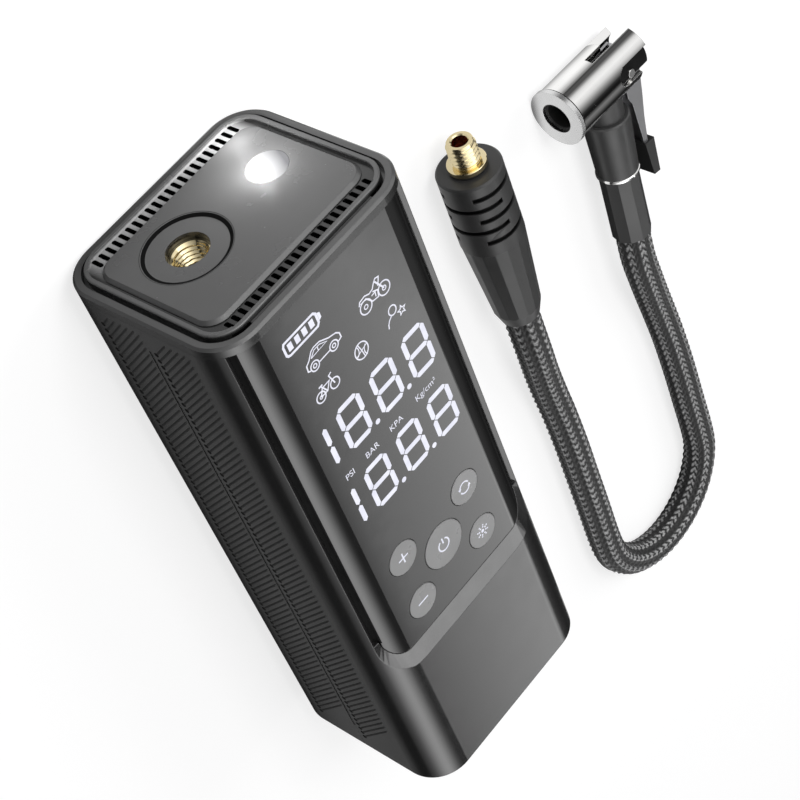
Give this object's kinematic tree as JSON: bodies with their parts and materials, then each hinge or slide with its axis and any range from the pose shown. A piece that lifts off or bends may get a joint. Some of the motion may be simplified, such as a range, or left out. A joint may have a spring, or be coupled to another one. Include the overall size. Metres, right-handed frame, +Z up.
{
  "type": "portable tire inflator",
  "caption": "Cordless hand-held tire inflator lying on its back, with display panel, keys, lamp, threaded outlet and a separate braided hose with a clip-on chuck.",
  "frame": {"origin": "centre of the housing's back, on the surface that it lies on", "axes": "+X to the right of the display, +Y towards the outlet end, +Z up out of the display"},
  "size_m": [0.1732, 0.253, 0.052],
  "materials": {
    "shell_plastic": "fine matt grain",
    "panel_gloss": "high gloss",
    "grey_plastic": "satin",
    "key_plastic": "satin",
    "black_plastic": "satin",
    "white_plastic": "satin",
    "gear_plastic": "satin",
    "board_green": "solder resist gloss",
    "lens_glass": "clear",
    "reflector_chrome": "mirror bright",
    "bright_chrome": "mirror bright",
    "steel": "satin",
    "motor_can": "zinc plated",
    "alloy": "as cast",
    "cell_wrap": "smooth shrink film",
    "brass": "turned bright",
    "seal_rubber": "matt",
    "hose_braid": "braided"
  },
  "bodies": {
    "inflator": {"rear_shell": "shell_plastic", "front_shell": "shell_plastic", "front_panel": "panel_gloss", "top_bezel": "grey_plastic", "vent_grille": "grey_plastic", "top_plate": "grey_plastic", "outlet_socket": "brass", "lamp_lens": "lens_glass", "lamp_reflector": "reflector_chrome", "lamp_board": "board_green", "display_module": "black_plastic", "main_board": "board_green", "key_switches": "black_plastic", "battery_cells": "cell_wrap", "cell_cradle": "black_plastic", "motor_case": "motor_can", "motor_end_cap": "black_plastic", "crank_bush": "brass", "pump_cylinder": "alloy", "cylinder_head": "alloy", "pump_frame": "alloy", "air_tube": "brass", "pressure_sensor": "black_plastic", "sensor_tube": "white_plastic", "usb_port": "steel", "case_screws": "steel", "pump_screws": "steel", "hose_tube": "hose_braid", "hose_fitting": "brass", "fitting_seal": "seal_rubber", "fitting_sleeve": "black_plastic", "chuck_barrel": "bright_chrome", "mouth_ring": "alloy", "chuck_gasket": "seal_rubber", "valve_depressor": "brass", "chuck_neck": "black_plastic", "chuck_ferrule": "black_plastic", "chuck_ring": "bright_chrome", "chuck_sleeve": "black_plastic", "lever_pin": "steel", "lever_spring": "steel"},
    "rotor": {"motor_shaft": "steel", "drive_pinion": "brass", "cooling_fan": "black_plastic"},
    "crank": {"crank_gear": "gear_plastic", "crank_shaft": "steel"},
    "rod": {"connecting_rod": "alloy", "wrist_pin": "steel"},
    "piston": {"piston": "white_plastic", "piston_ring": "seal_rubber"},
    "clip": {"clip_lever": "steel", "thumb_pad": "black_plastic"},
    "key_power": {"key_power": "key_plastic"},
    "key_plus": {"key_plus": "key_plastic"},
    "key_minus": {"key_minus": "key_plastic"},
    "key_lamp": {"key_lamp": "key_plastic"},
    "key_mode": {"key_mode": "key_plastic"}
  },
  "joints": [
    {"name": "key_power_press", "type": "slide", "parent": "inflator", "child": "key_power", "axis": [0, 0, -1], "range_m": [0, 0.0006], "stiffness_N_per_m": 400},
    {"name": "key_plus_press", "type": "slide", "parent": "inflator", "child": "key_plus", "axis": [0, 0, -1], "range_m": [0, 0.0006], "stiffness_N_per_m": 400},
    {"name": "key_minus_press", "type": "slide", "parent": "inflator", "child": "key_minus", "axis": [0, 0, -1], "range_m": [0, 0.0006], "stiffness_N_per_m": 400},
    {"name": "key_lamp_press", "type": "slide", "parent": "inflator", "child": "key_lamp", "axis": [0, 0, -1], "range_m": [0, 0.0006], "stiffness_N_per_m": 400},
    {"name": "key_mode_press", "type": "slide", "parent": "inflator", "child": "key_mode", "axis": [0, 0, -1], "range_m": [0, 0.0006], "stiffness_N_per_m": 400},
    {"name": "crank_turn", "type": "hinge", "parent": "inflator", "child": "crank", "pos_m": [-0.0102, 0.028, 0.0226], "axis": [1, 0, 0], "continuous": true},
    {"name": "motor_turn", "type": "hinge", "parent": "inflator", "child": "rotor", "pos_m": [0, 0.0064, 0.0226], "axis": [1, 0, 0], "continuous": true},
    {"name": "rod_turn", "type": "hinge", "parent": "crank", "child": "rod", "pos_m": [-0.0102, 0.031, 0.0226], "axis": [1, 0, 0], "continuous": true},
    {"name": "piston_stroke", "type": "slide", "parent": "inflator", "child": "piston", "axis": [0, 1, 0], "range_m": [-0.006, 0]},
    {"name": "clip_press", "type": "hinge", "parent": "inflator", "child": "clip", "pos_m": [0.13149, 0.00781, 0.0082], "axis": [0, 0, -1], "range_deg": [0, 4.2], "stiffness_Nm_per_rad": 0.2}
  ],
  "couplings": [
    {"joint": "motor_turn", "follows": "crank_turn", "ratio": -3.5},
    {"joint": "rod_turn", "follows": "crank_turn", "ratio": -1}
  ]
}
